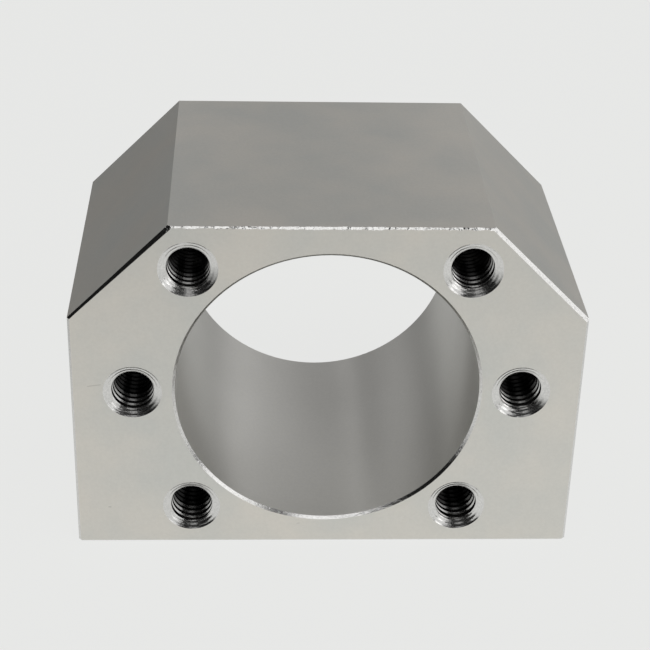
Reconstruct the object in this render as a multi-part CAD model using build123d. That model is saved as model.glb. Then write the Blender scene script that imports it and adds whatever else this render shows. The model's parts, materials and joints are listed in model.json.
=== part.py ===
from build123d import *
import math
import os

# Nut housing for a ball screw with a 40 mm nut barrel: one block of aluminium, milled, bored and tapped.
# All sizes are in millimetres. X runs across the block, Y along the screw and Z up.
# The origin is the middle of the mounting face, and the nut's flange seats on the face towards -Y.

# Bore for the nut's barrel
bore_diameter = 40.0
bore_break = 0.35          # broken edge at both mouths

# Screws that hold the nut's flange, three to each side of the bore
flange_screw = 6.0
flange_pitch = 1.0
flange_inset = 5.5         # from the wall of the bore to the middle of a screw
flange_spread = 45.0       # degrees between neighbours
flange_mouth = 7.7         # countersink across the face
flange_drilled = 18.0      # full width of the drilling, below the face

# Block, as the metal left round the bore and the screws
wall_under_bore = 4.0
wall_over_bore = 4.0
side_margin = 8.0          # from the outermost flange screws to each side
block_length = 42.0
shoulder_cut = 13.0        # each leg of the 45 degree cut along a top corner
end_break = 0.3            # broken edge round both end faces
base_break = 0.35          # broken edge along both sides of the mounting face

# Screws that hold the housing down, near the corners of the mounting face
base_screw = 6.0
base_pitch = 1.0
base_margin_side = 7.0     # from a side of the block to the middle of a screw
base_margin_end = 8.0      # from an end face to the middle of a screw
base_mouth = 6.8
base_drilled = 14.0

# Tools that cut the tapped holes
countersink_angle = 90.0
drill_point_angle = 118.0

# What follows from these sizes: 24 mm to the axis, screws on a 51 mm circle, and a block of 67 x 42 x 48 mm
bore_height = wall_under_bore + bore_diameter / 2
pitch_circle = bore_diameter + 2 * flange_inset
block_width = pitch_circle + 2 * side_margin
block_height = bore_height + bore_diameter / 2 + wall_over_bore


def cone_depth(radius, angle):
    """Return how deep a cone of this radius and included angle is."""
    return radius / math.tan(math.radians(angle / 2))


def tapped_hole(screw, pitch, mouth, drilled):
    """Return what is cut away for a blind tapped hole: it opens on Z = 0 and runs down -Z.

    The wall stands at the size of the tapping drill, which is the screw less its pitch.
    """
    wall = (screw - pitch) / 2
    rim = mouth / 2
    seat = cone_depth(rim, countersink_angle) - cone_depth(wall, countersink_angle)
    tip = drilled + cone_depth(wall, drill_point_angle)
    with BuildPart() as hole:
        with BuildSketch(Plane.XZ):
            with BuildLine():
                Polyline((0, 0), (rim, 0), (wall, -seat), (wall, -drilled), (0, -tip), close=True)
            make_face()
        revolve(axis=Axis.Z)
    return hole.part


def bored_block(flange_face):
    """Return the bored block: its section extruded along the screw, with its edges broken."""
    with BuildPart() as block:
        with BuildSketch(flange_face) as section:
            Rectangle(block_width, block_height, align=(Align.CENTER, Align.MIN))
            chamfer(section.vertices().group_by(Axis.Y)[-1], shoulder_cut)
            chamfer(section.vertices().group_by(Axis.Y)[0], base_break)
            with Locations((0, bore_height)):
                Circle(bore_diameter / 2, mode=Mode.SUBTRACT)
        extrude(amount=-block_length)
        end_edges = block.faces().filter_by(Axis.Y).edges()
        chamfer(end_edges.filter_by(GeomType.LINE), end_break)
        chamfer(end_edges.filter_by(GeomType.CIRCLE), bore_break)
    return block.part


def nut_housing():
    """Return the finished housing: the bored block with its flange and base screws tapped."""
    flange_face = Plane(origin=(0, -block_length / 2, 0), x_dir=(1, 0, 0), z_dir=(0, -1, 0))
    mounting_face = Plane(origin=(0, 0, 0), x_dir=(1, 0, 0), z_dir=(0, 0, -1))
    flange_hole = tapped_hole(flange_screw, flange_pitch, flange_mouth, flange_drilled)
    base_hole = tapped_hole(base_screw, base_pitch, base_mouth, base_drilled)
    base_spacing = (block_width - 2 * base_margin_side, block_length - 2 * base_margin_end)

    with BuildPart() as housing:
        add(bored_block(flange_face))
        with Locations(flange_face):
            with Locations((0, bore_height)):
                for side in (0, 180):
                    with PolarLocations(pitch_circle / 2, 3, side - flange_spread, 2 * flange_spread,
                                        endpoint=True):
                        add(flange_hole, mode=Mode.SUBTRACT)
        with Locations(mounting_face):
            with GridLocations(*base_spacing, 2, 2):
                add(base_hole, mode=Mode.SUBTRACT)
    return housing.part


os.makedirs("parts", exist_ok=True)
housing = nut_housing()
export_step(housing, "parts/nut_housing.step")
print("nut_housing", len(housing.solids()), "solid", round(housing.volume / 1000, 2), "cm3")
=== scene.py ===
import json
import math
import random
from collections import namedtuple

import bmesh
import bpy
from mathutils import Matrix, Vector


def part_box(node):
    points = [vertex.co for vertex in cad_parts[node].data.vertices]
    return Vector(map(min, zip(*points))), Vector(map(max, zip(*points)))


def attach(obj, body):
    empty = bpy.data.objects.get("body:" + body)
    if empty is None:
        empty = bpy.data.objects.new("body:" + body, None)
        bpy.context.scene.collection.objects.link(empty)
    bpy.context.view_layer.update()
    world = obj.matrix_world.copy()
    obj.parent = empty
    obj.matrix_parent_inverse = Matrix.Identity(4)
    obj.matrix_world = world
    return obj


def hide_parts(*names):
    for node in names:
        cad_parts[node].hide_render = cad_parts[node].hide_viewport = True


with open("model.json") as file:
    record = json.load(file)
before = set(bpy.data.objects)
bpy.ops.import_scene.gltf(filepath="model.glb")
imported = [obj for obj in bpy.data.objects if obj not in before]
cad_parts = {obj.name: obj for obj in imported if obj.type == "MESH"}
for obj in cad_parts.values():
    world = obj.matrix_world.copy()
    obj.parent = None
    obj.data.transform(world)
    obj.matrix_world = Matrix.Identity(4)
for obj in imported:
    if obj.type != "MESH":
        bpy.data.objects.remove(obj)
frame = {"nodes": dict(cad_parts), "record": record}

# The machined block is the one piece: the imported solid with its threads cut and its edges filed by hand.
# Lengths are in metres, X runs across the block, Y along the screw and Z up.

bl_info = {
    "name": "Ball Screw Nut Housing",
    "version": (1, 0, 0),
    "blender": (4, 5, 0),
    "location": "3D View > Sidebar > Nut Housing",
    "description": "Builds a machined nut housing with tapped holes, and a studio to show it in",
    "category": "Object",
}

NODE = "nut_housing"
MM = 0.001

# How near counts as on a plane when it cuts, as one point, and as on a face
CUT_SLACK = 1e-8
ONE_POINT = 1e-7
ON_FACE = 1e-6

MOUNTS = {mount["name"]: mount for mount in frame["record"]["mounts"]}
LOW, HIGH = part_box(NODE)
BORE_AXIS = Vector(MOUNTS["nut_bore"]["pos_m"])
BORE_RADIUS = MOUNTS["nut_bore"]["dims"]["r_mm"] * MM
TAP_DRILL_RADIUS = MOUNTS["flange_screws_corners"]["dims"]["hole_r_mm"] * MM

# Tapped holes: the rim of each kind, and the slope of their mouths from the face
FLANGE_RIM = 3.85 * MM
BASE_RIM = 3.4 * MM
MOUTH_SLOPE = math.radians(30)

# Threads: the slope of a flank, steps in a turn, and where round its hole each thread starts
FLANK_SLOPE = math.radians(30)
THREAD_STEPS = 32
THREAD_STARTS = (0.4, 2.1, 3.9, 5.2, 1.3, 4.6, 0.0, 1.0, 2.0, 3.0)

# Worn crests: radius and height of the wear near the mouth, the depth where it ends, and steps round it
WORN_CRESTS = ((2.84 * MM, 0.02 * MM), (2.8 * MM, -1.1 * MM), (2.73 * MM, -1.6 * MM))
WORN_DEPTH = 6.0 * MM
WORN_STEPS = 72

# How far a cutter stays inside the drilled wall, so that it leaves the wall alone
INSIDE_WALL = 0.05 * MM

# Filed edges: leg of the left one at its lower end, how far the right one runs and how much it widens
DARK_EDGE_END = 0.27 * MM
BRIGHT_EDGE_RUN = 0.55
BRIGHT_EDGE_GROWTH = 1.05

# The edge filed along the top: its cuts, where the file left it cleanest, how much thinner it gets toward
# its ends, and the reach of its nicks in millimetres
TOP_EDGE_CUTS = 260
CLEANEST_X = 3 * MM
TOP_EDGE_THINNING = 0.05 * MM
NICKS = (-0.07, -0.01)

# Distance between the rings that the countersink left
CHATTER_PITCH = 0.28 * MM

# Handling marks on the flange face: where each starts, how far it runs, its width and how dark it is
HANDLING_MARKS = (
    ((-31.3 * MM, LOW.y, 24.9 * MM), (1.7 * MM, 0, 0.25 * MM), 0.12 * MM, 0.22),
    ((-29.2 * MM, LOW.y, 5.8 * MM), (0.25 * MM, 0, 0.0), 0.15 * MM, 0.25),
    ((-3.7 * MM, LOW.y, 3.0 * MM), (0.35 * MM, 0, 0.05 * MM), 0.12 * MM, 0.2),
)

# Softboxes: place, the setting that holds the power, width and height
SOFTBOXES = {
    "softbox_right": ((0.62, -0.26, 0.32), "key_power", 0.55, 0.5),
    "softbox_low_right": ((0.43, -0.56, 0.13), "low_power", 0.40, 0.36),
    "softbox_front": ((-0.09, -0.70, 0.46), "front_power", 0.26, 0.24),
    "softbox_top": ((-0.08, -0.30, 0.62), "top_power", 0.75, 0.4),
    "softbox_back": ((0.25, 0.75, 0.50), "back_power", 1.1, 0.85),
    "softbox_back_left": ((-0.60, 0.68, 0.34), "left_power", 1.1, 0.5),
    "softbox_back_right": ((0.50, 0.75, 0.10), "right_power", 0.9, 0.45),
}

# Floor: its radius, its strength as the camera sees it, and how much of its shading is evened out
FLOOR_RADIUS = 2.5
FLOOR_SEEN = 1.09
FLOOR_EVENNESS = 0.9

# Camera: focal length in millimetres, roll, tilt and turn in degrees, and the bore's mouth as seen from it
FOCAL_LENGTH = 94.32
CAMERA_ROLL, CAMERA_TILT, CAMERA_TURN = 1.635, 29.236, -3.003
MOUTH_FROM_CAMERA = (0.35 * MM, 8.859 * MM, 223.252 * MM)

# Order of the materials on the block
MILLED, BORED, FILED, TAPPED = range(4)

# A tapped hole: middle of its mouth, the way out of it, depth of its thread and radius of its rim
Hole = namedtuple("Hole", "mouth way_out deep rim")


class HousingSizes(bpy.types.PropertyGroup):
    """Sizes of what is cut and filed after the block is milled"""

    screw: bpy.props.FloatProperty(
        name="Screw", description="Outer diameter of the screws the holes are tapped for",
        default=6 * MM, min=3 * MM, max=12 * MM, unit="LENGTH", precision=4)
    pitch: bpy.props.FloatProperty(
        name="Pitch", description="Distance from one turn of the thread to the next",
        default=1 * MM, min=0.4 * MM, max=2 * MM, unit="LENGTH", precision=5)
    flange_thread: bpy.props.FloatProperty(
        name="Flange thread", description="Depth of the thread in the holes round the bore",
        default=16 * MM, min=4 * MM, max=17.5 * MM, unit="LENGTH", precision=4)
    base_thread: bpy.props.FloatProperty(
        name="Base thread", description="Depth of the thread in the holes of the mounting face",
        default=12 * MM, min=4 * MM, max=13.5 * MM, unit="LENGTH", precision=4)
    dark_shoulder_edge: bpy.props.FloatProperty(
        name="Left shoulder edge", description="Leg of the filed edge at the top of the left shoulder",
        default=0.5 * MM, min=0.3 * MM, max=1 * MM, unit="LENGTH", precision=5)
    bright_shoulder_edge: bpy.props.FloatProperty(
        name="Right shoulder edge", description="Leg of the filed edge along the right shoulder",
        default=0.42 * MM, min=0.3 * MM, max=1 * MM, unit="LENGTH", precision=5)
    top_edge_wander: bpy.props.FloatProperty(
        name="Top edge wander", description="How far the edge filed along the top wanders",
        default=0.07 * MM, min=0, max=0.2 * MM, unit="LENGTH", precision=5)


class HousingFinish(bpy.types.PropertyGroup):
    """Colours and gloss of the bare aluminium, and the painted shade deep in its tapped holes"""

    light_metal: bpy.props.FloatVectorProperty(
        name="Light metal", description="Aluminium where it is lightest",
        subtype="COLOR", size=4, min=0, max=1, default=(0.685, 0.658, 0.605, 1))
    dull_metal: bpy.props.FloatVectorProperty(
        name="Dull metal", description="Aluminium where a film of oxide dulls it",
        subtype="COLOR", size=4, min=0, max=1, default=(0.63, 0.628, 0.595, 1))
    cut_metal: bpy.props.FloatVectorProperty(
        name="Cut metal", description="Aluminium freshly cut, at the filed edges and in the tapped holes",
        subtype="COLOR", size=4, min=0, max=1, default=(0.66, 0.655, 0.64, 1))
    bored_metal: bpy.props.FloatVectorProperty(
        name="Bored metal", description="Aluminium on the wall of the bore",
        subtype="COLOR", size=4, min=0, max=1, default=(0.675, 0.665, 0.635, 1))
    # Painted shade: the near black that the tapped holes darken to with depth
    hole_shade_metal: bpy.props.FloatVectorProperty(
        name="Hole shade metal", description="Aluminium deep in the tapped holes, under cutting oil",
        subtype="COLOR", size=4, min=0, max=1, default=(0.004, 0.004, 0.004, 1))
    milled_roughness: bpy.props.FloatProperty(
        name="Milled roughness", description="Roughness of the outer faces",
        default=0.36, min=0, max=1, subtype="FACTOR")
    bored_roughness: bpy.props.FloatProperty(
        name="Bored roughness", description="Roughness of the bore",
        default=0.38, min=0, max=1, subtype="FACTOR")


class StudioSetup(bpy.types.PropertyGroup):
    """Floor, room and lamps round the housing"""

    floor_colour: bpy.props.FloatVectorProperty(
        name="Floor", description="Colour of the pale floor and backdrop",
        subtype="COLOR", size=4, min=0, max=1, default=(0.785, 0.79, 0.78, 1))
    room: bpy.props.FloatProperty(
        name="Room", description="Brightness of the unlit room", default=0.01, min=0, max=2)
    key_power: bpy.props.FloatProperty(
        name="Right softbox", description="Power of the softbox to the right, in watts",
        default=1.08, min=0, max=50)
    low_power: bpy.props.FloatProperty(
        name="Low right softbox", description="Power of the low softbox in front to the right, in watts",
        default=0.42, min=0, max=50)
    front_power: bpy.props.FloatProperty(
        name="Front softbox", description="Power of the small softbox behind the camera, in watts",
        default=0.09, min=0, max=50)
    top_power: bpy.props.FloatProperty(
        name="Overhead softbox", description="Power of the softbox overhead, in watts",
        default=1.2, min=0, max=50)
    back_power: bpy.props.FloatProperty(
        name="Back softbox", description="Power of the softbox behind the housing, in watts",
        default=1.33, min=0, max=50)
    left_power: bpy.props.FloatProperty(
        name="Back left softbox", description="Power of the low softbox behind and to the left, in watts",
        default=0.83, min=0, max=50)
    right_power: bpy.props.FloatProperty(
        name="Back right softbox", description="Power of the low softbox behind and to the right, in watts",
        default=0.53, min=0, max=50)


# Shader nodes

def lay(tree, kind, inputs=None, **settings):
    """Add a node to a tree. Each input is a value, or the socket it is linked to."""
    made = tree.nodes.new(kind)
    for name, value in settings.items():
        setattr(made, name, value)
    for name, value in (inputs or {}).items():
        if isinstance(value, bpy.types.NodeSocket):
            tree.links.new(value, made.inputs[name])
        else:
            made.inputs[name].default_value = value
    return made


def ramp(tree, value, span=(0.0, 1.0), onto=(0.0, 1.0), **settings):
    """Map a value from one span onto another, and hold it at the ends."""
    made = lay(tree, "ShaderNodeMapRange", {
        "Value": value, "From Min": span[0], "From Max": span[1], "To Min": onto[0], "To Max": onto[1]},
        **settings)
    return made.outputs["Result"]


def reckon(tree, operation, *values, **settings):
    """Do sums with values, by a Math node."""
    return lay(tree, "ShaderNodeMath", dict(enumerate(values)), operation=operation, **settings).outputs[0]


def relate(tree, operation, first, second):
    """Do sums with two vectors, by a Vector Math node. It gives a number where the sum does."""
    made = lay(tree, "ShaderNodeVectorMath", {0: first, 1: second}, operation=operation)
    return made.outputs["Value" if operation in ("DOT_PRODUCT", "DISTANCE") else "Vector"]


def scaled(tree, vector, factor):
    """A vector or a colour times a factor."""
    made = lay(tree, "ShaderNodeVectorMath", {0: vector, "Scale": factor}, operation="SCALE")
    return made.outputs["Vector"]


def noise(tree, position, scale, detail, roughness=0.5):
    """Noise between 0 and 1 over a position."""
    made = lay(tree, "ShaderNodeTexNoise", {
        "Vector": position, "Scale": scale, "Detail": detail, "Roughness": roughness})
    return made.outputs["Fac"]


def raise_surface(tree, shader, height, strength, distance):
    """Let a height raise the surface of a shader."""
    bump = lay(tree, "ShaderNodeBump", {"Strength": strength, "Distance": distance, "Height": height})
    tree.links.new(bump.outputs["Normal"], shader.inputs["Normal"])


def new_group(name, inputs, outputs):
    """Start a node group. Inputs and outputs are pairs of a name and a kind of socket."""
    tree = bpy.data.node_groups.new(name, "ShaderNodeTree")
    for label, kind in inputs:
        tree.interface.new_socket(label, in_out="INPUT", socket_type=kind)
    for label, kind in outputs:
        tree.interface.new_socket(label, in_out="OUTPUT", socket_type=kind)
    return tree, tree.nodes.new("NodeGroupInput").outputs, tree.nodes.new("NodeGroupOutput").inputs


def metal_tone_group():
    """Colour of the metal: broad dull patches under a fine grain."""
    tree, given, out = new_group(
        "Metal tone",
        [("Position", "NodeSocketVector"), ("Light", "NodeSocketColor"), ("Dull", "NodeSocketColor"),
         ("Patches", "NodeSocketFloat"), ("Grain size", "NodeSocketFloat"), ("Grain", "NodeSocketFloat")],
        [("Color", "NodeSocketColor"), ("Mottle", "NodeSocketFloat")])
    patches = noise(tree, given["Position"], given["Patches"], 3.0, 0.55)
    mottle = ramp(tree, patches, (0.35, 0.65))
    tone = lay(tree, "ShaderNodeMix", {
        "Factor": mottle, "A": given["Light"], "B": given["Dull"]}, data_type="RGBA")
    grain = noise(tree, given["Position"], given["Grain size"], 2.0)
    darkest = reckon(tree, "SUBTRACT", 1.0, given["Grain"])
    lightest = reckon(tree, "ADD", 1.0, given["Grain"])
    speck = ramp(tree, grain, (0.3, 0.7), (darkest, lightest))
    tree.links.new(scaled(tree, tone.outputs["Result"], speck), out["Color"])
    tree.links.new(mottle, out["Mottle"])
    return tree


def tool_marks_group():
    """Height of fine marks a tool leaves, drawn out along one way."""
    tree, given, out = new_group(
        "Tool marks",
        [("Position", "NodeSocketVector"), ("Stretch", "NodeSocketVector"), ("Fineness", "NodeSocketFloat")],
        [("Height", "NodeSocketFloat")])
    drawn = relate(tree, "MULTIPLY", given["Position"], given["Stretch"])
    tree.links.new(noise(tree, drawn, given["Fineness"], 4.0, 0.6), out["Height"])
    return tree


def handling_mark_group():
    """Mask of one handling mark: a soft dash from a start along a way, drawn on the flange face."""
    tree, given, out = new_group(
        "Handling mark",
        [("Position", "NodeSocketVector"), ("Start", "NodeSocketVector"), ("Reach", "NodeSocketVector"),
         ("Width", "NodeSocketFloat")],
        [("Mask", "NodeSocketFloat")])
    offset = relate(tree, "SUBTRACT", given["Position"], given["Start"])
    along = relate(tree, "DOT_PRODUCT", offset, given["Reach"])
    whole = relate(tree, "DOT_PRODUCT", given["Reach"], given["Reach"])
    share = reckon(tree, "DIVIDE", along, whole, use_clamp=True)
    away = relate(tree, "DISTANCE", offset, scaled(tree, given["Reach"], share))
    mask = ramp(tree, away, (0.0, given["Width"]), (1.0, 0.0), interpolation_type="SMOOTHSTEP")
    tree.links.new(mask, out["Mask"])
    return tree


def new_material(name):
    """Start a metal material. Returns it with its tree, its shader and its Object coordinates."""
    material = bpy.data.materials.new(name)
    material.use_nodes = True
    tree = material.node_tree
    shader = tree.nodes["Principled BSDF"]
    shader.inputs["Metallic"].default_value = 1.0
    position = tree.nodes.new("ShaderNodeTexCoord").outputs["Object"]
    return material, tree, shader, position


def milled_material(finish, tone, marks, handling):
    """Outer faces: satin, faintly mottled, with a few handling marks on the flange face."""
    material, tree, shader, position = new_material("milled_aluminium")
    metal = lay(tree, "ShaderNodeGroup", {
        "Position": position, "Light": finish.light_metal, "Dull": finish.dull_metal,
        "Patches": 75.0, "Grain size": 2600.0, "Grain": 0.02}, node_tree=tone)
    colour = metal.outputs["Color"]
    for start, reach, width, darkness in HANDLING_MARKS:
        mark = lay(tree, "ShaderNodeGroup", {
            "Position": position, "Start": start, "Reach": reach, "Width": width}, node_tree=handling)
        colour = scaled(tree, colour, ramp(tree, mark.outputs["Mask"], onto=(1.0, 1.0 - darkness)))
    tree.links.new(colour, shader.inputs["Base Color"])
    roughness = ramp(tree, metal.outputs["Mottle"],
                     onto=(finish.milled_roughness - 0.02, finish.milled_roughness + 0.03))
    tree.links.new(roughness, shader.inputs["Roughness"])
    feed = lay(tree, "ShaderNodeGroup", {
        "Position": position, "Stretch": (0.12, 1.0, 1.0), "Fineness": 1400.0}, node_tree=marks)
    raise_surface(tree, shader, feed.outputs["Height"], 0.05, 0.02 * MM)
    return material


def bored_material(finish, tone, marks):
    """Wall of the bore: the boring bar's fine rings draw reflections out along the axis."""
    material, tree, shader, position = new_material("bored_aluminium")
    metal = lay(tree, "ShaderNodeGroup", {
        "Position": position, "Light": finish.bored_metal, "Dull": finish.bored_metal,
        "Patches": 110.0, "Grain size": 2600.0, "Grain": 0.02}, node_tree=tone)
    tree.links.new(metal.outputs["Color"], shader.inputs["Base Color"])
    roughness = ramp(tree, metal.outputs["Mottle"],
                     onto=(finish.bored_roughness - 0.01, finish.bored_roughness + 0.01))
    tree.links.new(roughness, shader.inputs["Roughness"])
    shader.inputs["Anisotropic"].default_value = 0.5
    shader.inputs["Anisotropic Rotation"].default_value = 0.25
    tangent = lay(tree, "ShaderNodeTangent", direction_type="RADIAL", axis="Y")
    tree.links.new(tangent.outputs["Tangent"], shader.inputs["Tangent"])
    rings = lay(tree, "ShaderNodeGroup", {
        "Position": position, "Stretch": (0.05, 1.0, 0.05), "Fineness": 3000.0}, node_tree=marks)
    raise_surface(tree, shader, rings.outputs["Height"], 0.08, 0.02 * MM)
    return material


def filed_material(finish, tone, marks):
    """Broken edges: bright bare metal, left a little ragged by the file and most nicked along the top."""
    material, tree, shader, position = new_material("filed_aluminium")
    metal = lay(tree, "ShaderNodeGroup", {
        "Position": position, "Light": finish.cut_metal, "Dull": finish.cut_metal,
        "Patches": 400.0, "Grain size": 5000.0, "Grain": 0.12}, node_tree=tone)
    tree.links.new(metal.outputs["Color"], shader.inputs["Base Color"])
    shader.inputs["Roughness"].default_value = 0.17
    ragged = lay(tree, "ShaderNodeGroup", {
        "Position": position, "Stretch": (1.0, 1.0, 1.0), "Fineness": 2600.0}, node_tree=marks)
    nicks = ramp(tree, noise(tree, position, 2000.0, 2.0), (0.5, 0.65), (0.0, -1.5))
    place = lay(tree, "ShaderNodeSeparateXYZ", {0: position})
    battered = ramp(tree, place.outputs["Z"], (HIGH.z - 0.7 * MM, HIGH.z - 0.6 * MM), (0.12, 0.6))
    aside = reckon(tree, "ABSOLUTE", reckon(tree, "SUBTRACT", place.outputs["X"], CLEANEST_X))
    aside = ramp(tree, aside, (6 * MM, 15 * MM), (0.6, 1.9))
    battered = reckon(tree, "MULTIPLY", battered, aside)
    height = reckon(tree, "MULTIPLY_ADD", nicks, battered, ragged.outputs["Height"])
    raise_surface(tree, shader, height, 0.5, 0.05 * MM)
    return material


def tapped_material(finish, tone, marks):
    """Tapped holes: a chattered countersink, and threads darkened further down by painted shade."""
    material, tree, shader, position = new_material("tapped_aluminium")
    metal = lay(tree, "ShaderNodeGroup", {
        "Position": position, "Light": finish.cut_metal, "Dull": finish.cut_metal,
        "Patches": 400.0, "Grain size": 4000.0, "Grain": 0.08}, node_tree=tone)
    depth = lay(tree, "ShaderNodeAttribute", attribute_name="hole_depth").outputs["Fac"]
    # Painted shade: the colour goes from the cut metal to near black between 1 and 4.6 mm deep in the hole
    unshaded_share = ramp(tree, depth, (1.0 * MM, 4.6 * MM), (1.0, 0.02), interpolation_type="SMOOTHSTEP")
    colour = lay(tree, "ShaderNodeMix", {
        "Factor": unshaded_share, "A": finish.hole_shade_metal, "B": metal.outputs["Color"]}, data_type="RGBA")
    tree.links.new(colour.outputs["Result"], shader.inputs["Base Color"])
    shader.inputs["Roughness"].default_value = 0.2
    torn = lay(tree, "ShaderNodeGroup", {
        "Position": position, "Stretch": (1.0, 1.0, 1.0), "Fineness": 1500.0}, node_tree=marks)
    ring = reckon(tree, "MULTIPLY", depth, 2 * math.pi / CHATTER_PITCH)
    ring = reckon(tree, "SINE", reckon(tree, "ADD", ring, 2.2))
    chatter = ramp(tree, depth, (0.5 * MM, 0.6 * MM), (0.5, 0.0))
    patch = ramp(tree, noise(tree, position, 420.0, 1.0), (0.4, 0.6), (0.25, 1.0))
    patch = reckon(tree, "MULTIPLY", patch, chatter)
    height = reckon(tree, "MULTIPLY_ADD", ring, patch, torn.outputs["Height"])
    raise_surface(tree, shader, height, 0.5, 0.05 * MM)
    return material


# Shape of the housing

def tapped_holes():
    """Every tapped hole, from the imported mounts."""
    sizes = bpy.context.scene.housing_sizes
    holes = []
    for name in ("flange_screws_corners", "flange_screws_sides", "base_screws"):
        dims = MOUNTS[name]["dims"]
        half_x = dims["spacing_x_mm"] * MM / 2
        half_y = dims.get("spacing_y_mm", 0) * MM / 2
        ups = (-1, 1) if half_y else (0,)
        for side in (-1, 1):
            for up in ups:
                if name == "base_screws":
                    mouth = Vector((side * half_x, up * half_y, LOW.z))
                    holes.append(Hole(mouth, Vector((0, 0, -1)), sizes.base_thread, BASE_RIM))
                else:
                    mouth = Vector((side * half_x, LOW.y, BORE_AXIS.z + up * half_y))
                    holes.append(Hole(mouth, Vector((0, -1, 0)), sizes.flange_thread, FLANGE_RIM))
    return holes


def flatten_mouths(bm, holes):
    """Bring each countersink up to the flat slope that the point of a drill leaves, its rim kept."""
    for hole in holes:
        foot = hole.rim - TAP_DRILL_RADIUS + INSIDE_WALL
        for vert in bm.verts:
            offset = vert.co - hole.mouth
            depth = -offset.dot(hole.way_out)
            inset = hole.rim - (offset + hole.way_out * depth).length
            if abs(depth - inset) < 0.02 * MM and 0.1 * MM < inset < foot:
                vert.co += hole.way_out * (depth - inset * math.tan(MOUTH_SLOPE))


def thread_coil(deep):
    """The V of the thread wound down a hole that runs from Z = 0 to -deep, as a closed coil."""
    sizes = bpy.context.scene.housing_sizes
    root = sizes.screw / 2
    inside = TAP_DRILL_RADIUS - 0.2 * MM
    root_flat = sizes.pitch / 16
    inside_flat = root_flat + (root - inside) * math.tan(FLANK_SLOPE)
    turns = math.ceil(deep / sizes.pitch) + 1
    bm = bmesh.new()
    corners = [bm.verts.new((radius, 0, height - deep)) for radius, height in (
        (inside, -inside_flat), (root, -root_flat), (root, root_flat), (inside, inside_flat))]
    profile = bm.faces.new(corners)
    bmesh.ops.spin(
        bm, geom=[profile], cent=(0, 0, 0), axis=(0, 0, 1), dvec=(0, 0, sizes.pitch / THREAD_STEPS),
        angle=2 * math.pi * turns, steps=THREAD_STEPS * turns, use_merge=False, use_duplicate=False)
    # the groove grows over the tap's last two turns at the bottom
    for vert in bm.verts:
        lead = max((vert.co.z + deep) / (2 * sizes.pitch), 0)
        reach = math.hypot(vert.co.x, vert.co.y)
        wanted = min(reach, TAP_DRILL_RADIUS - INSIDE_WALL + (root - TAP_DRILL_RADIUS) * lead)
        vert.co.xy *= wanted / reach
    bmesh.ops.recalc_face_normals(bm, faces=bm.faces)
    return bm


def worn_mouth(_deep):
    """What years of screws take off the crests of the first turns, the same in every hole."""
    outline = [(0, WORN_CRESTS[0][1]), *WORN_CRESTS, (TAP_DRILL_RADIUS - INSIDE_WALL, -WORN_DEPTH),
               (0, -WORN_DEPTH)]
    bm = bmesh.new()
    points = [bm.verts.new((radius, 0, height)) for radius, height in outline]
    lines = [bm.edges.new(pair) for pair in zip(points, points[1:])]
    bmesh.ops.spin(
        bm, geom=points + lines, cent=(0, 0, 0), axis=(0, 0, 1), angle=2 * math.pi, steps=WORN_STEPS,
        use_merge=True, use_duplicate=False)
    bmesh.ops.remove_doubles(bm, verts=bm.verts, dist=ONE_POINT)
    bmesh.ops.recalc_face_normals(bm, faces=bm.faces)
    return bm


def in_every_hole(name, holes, cutter):
    """What a cutter takes out of holes of each depth, set into every hole, as one mesh."""
    together = bpy.data.meshes.new(name)
    every = bmesh.new()
    for deep in sorted({hole.deep for hole in holes}):
        one = cutter(deep)
        one.to_mesh(together)
        one.free()
        for number, hole in enumerate(holes):
            if hole.deep != deep:
                continue
            first = len(every.verts)
            every.from_mesh(together)
            every.verts.ensure_lookup_table()
            turn = Vector((0, 0, 1)).rotation_difference(hole.way_out).to_matrix().to_4x4()
            start = Matrix.Rotation(THREAD_STARTS[number % len(THREAD_STARTS)], 4, "Z")
            bmesh.ops.transform(
                every, verts=every.verts[first:], matrix=Matrix.Translation(hole.mouth) @ turn @ start)
    every.to_mesh(together)
    every.free()
    return together


def file_edge(bm, start, end, inward, legs):
    """File one edge of the flange face: its leg is legs[0] at start and legs[1] at end."""
    on_face = [corner + inward * leg for corner, leg in zip((start, end), legs)]
    on_side = start + Vector((0, 1, 0)) * legs[0]
    across = (on_face[1] - on_face[0]).cross(on_side - on_face[0]).normalized()
    if across.dot(start - on_face[0]) < 0:
        across.negate()
    cut = bmesh.ops.bisect_plane(
        bm, geom=bm.verts[:] + bm.edges[:] + bm.faces[:], dist=CUT_SLACK,
        plane_co=on_face[0], plane_no=across, clear_outer=True)
    rims = [item for item in cut["geom_cut"] if isinstance(item, bmesh.types.BMEdge) and item.is_boundary]
    bmesh.ops.holes_fill(bm, edges=rims, sides=0)


def top_strip(bm):
    """Faces of the broken edge between the flange face and the top."""
    slope = Vector((0, -1, 1)).normalized()
    return [face for face in bm.faces
            if face.normal.dot(slope) > 0.999 and face.calc_center_median().z > HIGH.z - 0.5 * MM]


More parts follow.
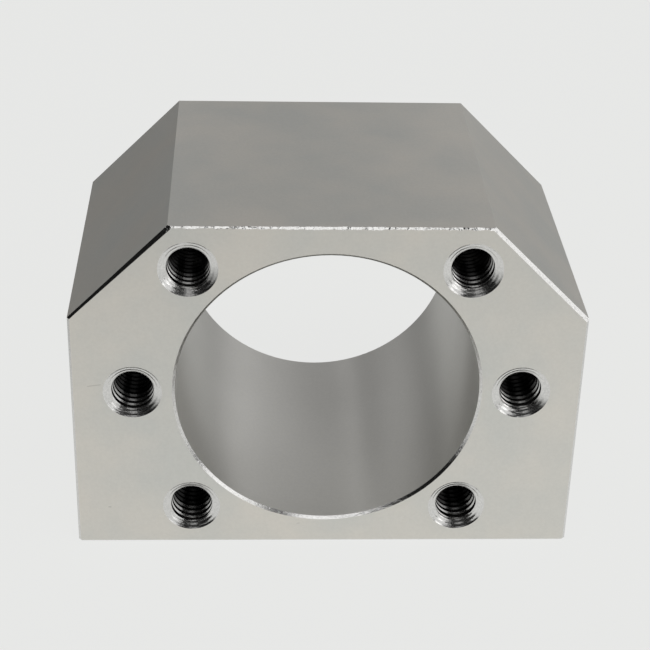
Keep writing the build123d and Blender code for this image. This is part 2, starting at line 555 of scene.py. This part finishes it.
def ragged_top_edge(bm, sizes):
    """Let both sides of the edge filed along the top wander, each within its own face."""
    strip = top_strip(bm)
    inner = [edge for edge in bm.edges
             if len(edge.link_faces) == 2 and all(face in strip for face in edge.link_faces)]
    bmesh.ops.dissolve_edges(bm, edges=inner)
    strip = top_strip(bm)
    along = [edge for edge in bm.edges
             if edge.calc_length() > 20 * MM and any(face in strip for face in edge.link_faces)]
    bmesh.ops.subdivide_edges(bm, edges=along, cuts=TOP_EDGE_CUTS, use_grid_fill=True)
    draw = random.Random(11)
    face_side, top_side = {}, {}
    for vert in bm.verts:
        on_face = abs(vert.co.y - LOW.y) < ON_FACE and abs(vert.co.z - HIGH.z) < 0.4 * MM
        on_top = abs(vert.co.z - HIGH.z) < ON_FACE and abs(vert.co.y - LOW.y) < 0.4 * MM
        if (on_face or on_top) and abs(vert.co.x) < 20 * MM:
            (face_side if on_face else top_side)[round(vert.co.x / MM, 4)] = vert
    drift = 0.0
    for on_face, on_top in zip(sorted(face_side), sorted(top_side)):
        drift = 0.5 * drift + draw.uniform(-1, 1)
        wander = sizes.top_edge_wander * max(-1.2, min(1.8, drift))
        wander -= TOP_EDGE_THINNING * min(abs(face_side[on_face].co.x - CLEANEST_X) / (15 * MM), 1)
        face_side[on_face].co.z -= wander + draw.uniform(*NICKS) * MM
        top_side[on_top].co.y += wander + draw.uniform(*NICKS) * MM


def housing_bmesh(sizes, holes):
    """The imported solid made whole, with its countersinks flattened and its front edges filed."""
    bm = bmesh.new()
    bm.from_mesh(frame["nodes"][NODE].data)
    bmesh.ops.remove_doubles(bm, verts=bm.verts, dist=ONE_POINT)
    flatten_mouths(bm, holes)
    shoulder_x = max(vert.co.x for vert in bm.verts if vert.co.z > HIGH.z - ON_FACE)
    shoulder_z = max(vert.co.z for vert in bm.verts if vert.co.x > HIGH.x - ON_FACE)
    left_top = Vector((-shoulder_x, LOW.y, HIGH.z))
    left_side = Vector((LOW.x, LOW.y, shoulder_z))
    right_top = Vector((shoulder_x, LOW.y, HIGH.z))
    right_side = Vector((HIGH.x, LOW.y, shoulder_z))
    file_edge(bm, left_top, left_side, Vector((1, 0, -1)).normalized(),
              (sizes.dark_shoulder_edge, DARK_EDGE_END))
    file_edge(bm, right_top, right_top.lerp(right_side, BRIGHT_EDGE_RUN), Vector((-1, 0, -1)).normalized(),
              (sizes.bright_shoulder_edge, BRIGHT_EDGE_GROWTH * sizes.bright_shoulder_edge))
    ragged_top_edge(bm, sizes)
    return bm


def cut_out(block, cutter_mesh):
    """Take a cutter out of the block with a Boolean, and keep the result as its mesh."""
    cutter = bpy.data.objects.new(cutter_mesh.name, cutter_mesh)
    bpy.context.scene.collection.objects.link(cutter)
    boolean = block.modifiers.new(cutter_mesh.name, "BOOLEAN")
    boolean.operation = "DIFFERENCE"
    boolean.solver = "MANIFOLD"
    boolean.object = cutter
    graph = bpy.context.evaluated_depsgraph_get()
    cut = bpy.data.meshes.new_from_object(block.evaluated_get(graph))
    if len(cut.polygons) <= len(block.data.polygons):
        raise RuntimeError(cutter_mesh.name + " was not cut out of the block")
    block.modifiers.clear()
    block.data = cut
    bpy.data.objects.remove(cutter)


def sharpen_flats(mesh):
    """Keep flat faces flat: an edge where one meets a sloping or round one is sharp, however gentle."""
    bm = bmesh.new()
    bm.from_mesh(mesh)
    for edge in bm.edges:
        flats = {max(abs(n) for n in face.normal) > 0.9999 for face in edge.link_faces}
        if len(flats) == 2:
            edge.smooth = False
    bm.to_mesh(mesh)
    bm.free()


def hole_share(point, holes):
    """Depth of a point in the tapped hole it belongs to, or None where it is in none."""
    for hole in holes:
        offset = point - hole.mouth
        depth = -offset.dot(hole.way_out)
        from_middle = (offset + hole.way_out * depth).length
        if -ON_FACE < depth < 25 * MM and from_middle < hole.rim + 0.01 * MM:
            return depth
    return None


def mark_finishes(mesh, holes):
    """Give each face its material by where it lies, and each vertex its depth in a hole."""
    depth_of = mesh.attributes.new("hole_depth", "FLOAT", "POINT")
    for vert in mesh.vertices:
        depth_of.data[vert.index].value = hole_share(vert.co, holes) or 0.0
    for face in mesh.polygons:
        centre, normal = face.center, face.normal
        from_axis = math.hypot(centre.x - BORE_AXIS.x, centre.z - BORE_AXIS.z)
        square = max(abs(n) for n in normal) > 0.999
        shoulder = abs(normal.y) < 0.05 and normal.z > 0.6
        depth = hole_share(centre, holes)
        if depth is not None and depth > ON_FACE:
            face.material_index = TAPPED
        elif from_axis < BORE_RADIUS + 0.1 * MM and abs(normal.y) < 0.05:
            face.material_index = BORED
        elif square or shoulder:
            face.material_index = MILLED
        else:
            face.material_index = FILED


class NUTHOUSING_OT_housing(bpy.types.Operator):
    """Make the housing: the milled block with its threads cut, its edges filed and its metal finished"""

    bl_idname = "nut_housing.housing"
    bl_label = "Housing"

    def execute(self, context):
        finish = context.scene.housing_finish
        holes = tapped_holes()
        bm = housing_bmesh(context.scene.housing_sizes, holes)
        mesh = bpy.data.meshes.new("machined_block")
        bm.to_mesh(mesh)
        bm.free()
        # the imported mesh's own normals don't fit the edges filed here
        own_normals = mesh.attributes.get("custom_normal")
        if own_normals:
            mesh.attributes.remove(own_normals)
        block = bpy.data.objects.new("machined_block", mesh)
        context.scene.collection.objects.link(block)
        cut_out(block, in_every_hole("worn_mouths", holes, worn_mouth))
        cut_out(block, in_every_hole("thread_grooves", holes, thread_coil))
        mesh = block.data
        mesh.shade_smooth()
        mesh.set_sharp_from_angle(angle=math.radians(28))
        sharpen_flats(mesh)
        tone, marks, handling = metal_tone_group(), tool_marks_group(), handling_mark_group()
        mesh.materials.clear()
        for material in (milled_material(finish, tone, marks, handling), bored_material(finish, tone, marks),
                         filed_material(finish, tone, marks), tapped_material(finish, tone, marks)):
            mesh.materials.append(material)
        mark_finishes(mesh, holes)
        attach(block, "root")
        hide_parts(NODE)
        return {"FINISHED"}


# Studio

def make_floor(studio):
    """A wide pale floor. The camera and the metal see it a little evened out, with the soft shadow kept. In
    the metal the floor's glow is painted light, brighter near the front of the block and to the right, and
    it fades to the left and behind.
    """
    bm = bmesh.new()
    bmesh.ops.create_circle(bm, cap_ends=True, segments=96, radius=FLOOR_RADIUS)
    mesh = bpy.data.meshes.new("floor")
    bm.to_mesh(mesh)
    bm.free()
    floor = bpy.data.objects.new("floor", mesh)
    bpy.context.scene.collection.objects.link(floor)
    material = bpy.data.materials.new("pale_floor")
    material.use_nodes = True
    tree = material.node_tree
    tree.nodes.clear()
    path = tree.nodes.new("ShaderNodeLightPath").outputs
    position = tree.nodes.new("ShaderNodeTexCoord").outputs["Object"]
    place = lay(tree, "ShaderNodeSeparateXYZ", {0: position}).outputs
    # Painted light for reflections: the glow that the metal sees grows near the block's front and to the
    # right
    painted_near_glow = ramp(tree, place["Y"], (-0.12, -0.07), (0.96, 1.12))
    painted_right_glow = ramp(tree, place["X"], (-0.04, 0.04), (0.98, 1.04))
    strength = lay(tree, "ShaderNodeMix", {
        "Factor": path["Is Camera Ray"], "A": reckon(tree, "MULTIPLY", painted_near_glow, painted_right_glow), "B": FLOOR_SEEN})
    # Painted shade for reflections: behind, far off and to the left the glow fades, so the metal sees the
    # floor as the lamps light it
    behind = ramp(tree, place["Y"], (-0.02, 0.03), (1.0, 0.5))
    farther = ramp(tree, place["Y"], (0.08, 0.25), (1.0, 0.3))
    lefter = ramp(tree, place["X"], (-0.15, -0.065), (0.2, 1.0))
    fading = reckon(tree, "MULTIPLY", reckon(tree, "MULTIPLY", behind, farther), lefter)
    mirrored = reckon(tree, "MULTIPLY", path["Is Glossy Ray"], fading)
    seen = reckon(tree, "MAXIMUM", path["Is Camera Ray"], mirrored)
    seen = reckon(tree, "MAXIMUM", seen, path["Is Transmission Ray"])
    paint = lay(tree, "ShaderNodeBsdfDiffuse", {"Color": studio.floor_colour})
    even = lay(tree, "ShaderNodeEmission", {
        "Color": studio.floor_colour, "Strength": strength.outputs["Result"]})
    mix = lay(tree, "ShaderNodeMixShader", {
        0: reckon(tree, "MULTIPLY", seen, FLOOR_EVENNESS), 1: paint.outputs[0], 2: even.outputs[0]})
    lay(tree, "ShaderNodeOutputMaterial", {"Surface": mix.outputs[0]})
    mesh.materials.append(material)


def make_room(studio):
    """A dim room round the studio. The camera sees it as the same pale backdrop as the floor."""
    world = bpy.data.worlds.new("room")
    bpy.context.scene.world = world
    world.use_nodes = True
    tree = world.node_tree
    tree.nodes.clear()
    room = lay(tree, "ShaderNodeBackground", {"Color": (1, 1, 1, 1), "Strength": studio.room})
    backdrop = lay(tree, "ShaderNodeBackground", {"Color": studio.floor_colour, "Strength": 1.0})
    path = tree.nodes.new("ShaderNodeLightPath").outputs
    mix = lay(tree, "ShaderNodeMixShader", {
        0: path["Is Camera Ray"], 1: room.outputs[0], 2: backdrop.outputs[0]})
    lay(tree, "ShaderNodeOutputWorld", {"Surface": mix.outputs[0]})


def make_softbox(name, place, power, width, height):
    """A rectangular lamp at a place, turned to the housing. The camera doesn't see it."""
    lamp = bpy.data.lights.new(name, "AREA")
    lamp.shape = "RECTANGLE"
    lamp.size = width
    lamp.size_y = height
    lamp.energy = power
    softbox = bpy.data.objects.new(name, lamp)
    softbox.location = place
    aim = Vector((0, 0, BORE_AXIS.z)) - Vector(place)
    softbox.rotation_euler = aim.to_track_quat("-Z", "Y").to_euler()
    softbox.visible_camera = False
    bpy.context.scene.collection.objects.link(softbox)


def make_camera():
    """The photograph's camera: about 29 degrees above the bore's axis and 22 cm from the flange face."""
    lens = bpy.data.cameras.new("camera")
    lens.sensor_width = 36.0
    lens.lens = FOCAL_LENGTH
    lens.clip_start = 0.01
    camera = bpy.data.objects.new("camera", lens)
    bpy.context.scene.collection.objects.link(camera)
    bpy.context.scene.camera = camera
    # the photograph's own axes run right, down and into the picture
    level = Matrix(((1, 0, 0), (0, 0, -1), (0, 1, 0)))
    tilt = (Matrix.Rotation(math.radians(CAMERA_ROLL), 3, "Z")
            @ Matrix.Rotation(math.radians(CAMERA_TILT), 3, "X")
            @ Matrix.Rotation(math.radians(CAMERA_TURN), 3, "Y"))
    turn = tilt @ level
    place = turn.transposed() @ -Vector(MOUTH_FROM_CAMERA) + Vector((0, LOW.y, BORE_AXIS.z))
    flip = Matrix(((1, 0, 0), (0, -1, 0), (0, 0, -1)))
    camera.matrix_world = Matrix.Translation(place) @ (turn.transposed() @ flip).to_4x4()


class NUTHOUSING_OT_stage(bpy.types.Operator):
    """Make the studio: pale floor, dim room, softboxes and the camera"""

    bl_idname = "nut_housing.stage"
    bl_label = "Stage"

    def execute(self, context):
        studio = context.scene.housing_studio
        context.scene.view_settings.view_transform = "Standard"
        make_floor(studio)
        make_room(studio)
        for name, (place, power, width, height) in SOFTBOXES.items():
            make_softbox(name, place, getattr(studio, power), width, height)
        make_camera()
        return {"FINISHED"}


class NUTHOUSING_PT_panel(bpy.types.Panel):
    """Builds the nut housing and its studio"""

    bl_idname = "NUTHOUSING_PT_panel"
    bl_label = "Nut Housing"
    bl_space_type = "VIEW_3D"
    bl_region_type = "UI"
    bl_category = "Nut Housing"

    def draw(self, context):
        scene = context.scene
        for group, operator in ((scene.housing_sizes, None), (scene.housing_finish, "nut_housing.housing"),
                                (scene.housing_studio, "nut_housing.stage")):
            box = self.layout.box()
            for name in group.__annotations__:
                box.prop(group, name)
            if operator:
                box.operator(operator)


CLASSES = (HousingSizes, HousingFinish, StudioSetup, NUTHOUSING_OT_housing, NUTHOUSING_OT_stage,
           NUTHOUSING_PT_panel)


def register():
    for cls in CLASSES:
        bpy.utils.register_class(cls)
    bpy.types.Scene.housing_sizes = bpy.props.PointerProperty(type=HousingSizes)
    bpy.types.Scene.housing_finish = bpy.props.PointerProperty(type=HousingFinish)
    bpy.types.Scene.housing_studio = bpy.props.PointerProperty(type=StudioSetup)


def unregister():
    del bpy.types.Scene.housing_studio
    del bpy.types.Scene.housing_finish
    del bpy.types.Scene.housing_sizes
    for cls in reversed(CLASSES):
        bpy.utils.unregister_class(cls)


def main():
    """Build the housing and its studio."""
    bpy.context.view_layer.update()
    register()
    bpy.ops.nut_housing.housing()
    bpy.ops.nut_housing.stage()
    bpy.context.view_layer.update()


if __name__ == "__main__":
    main()
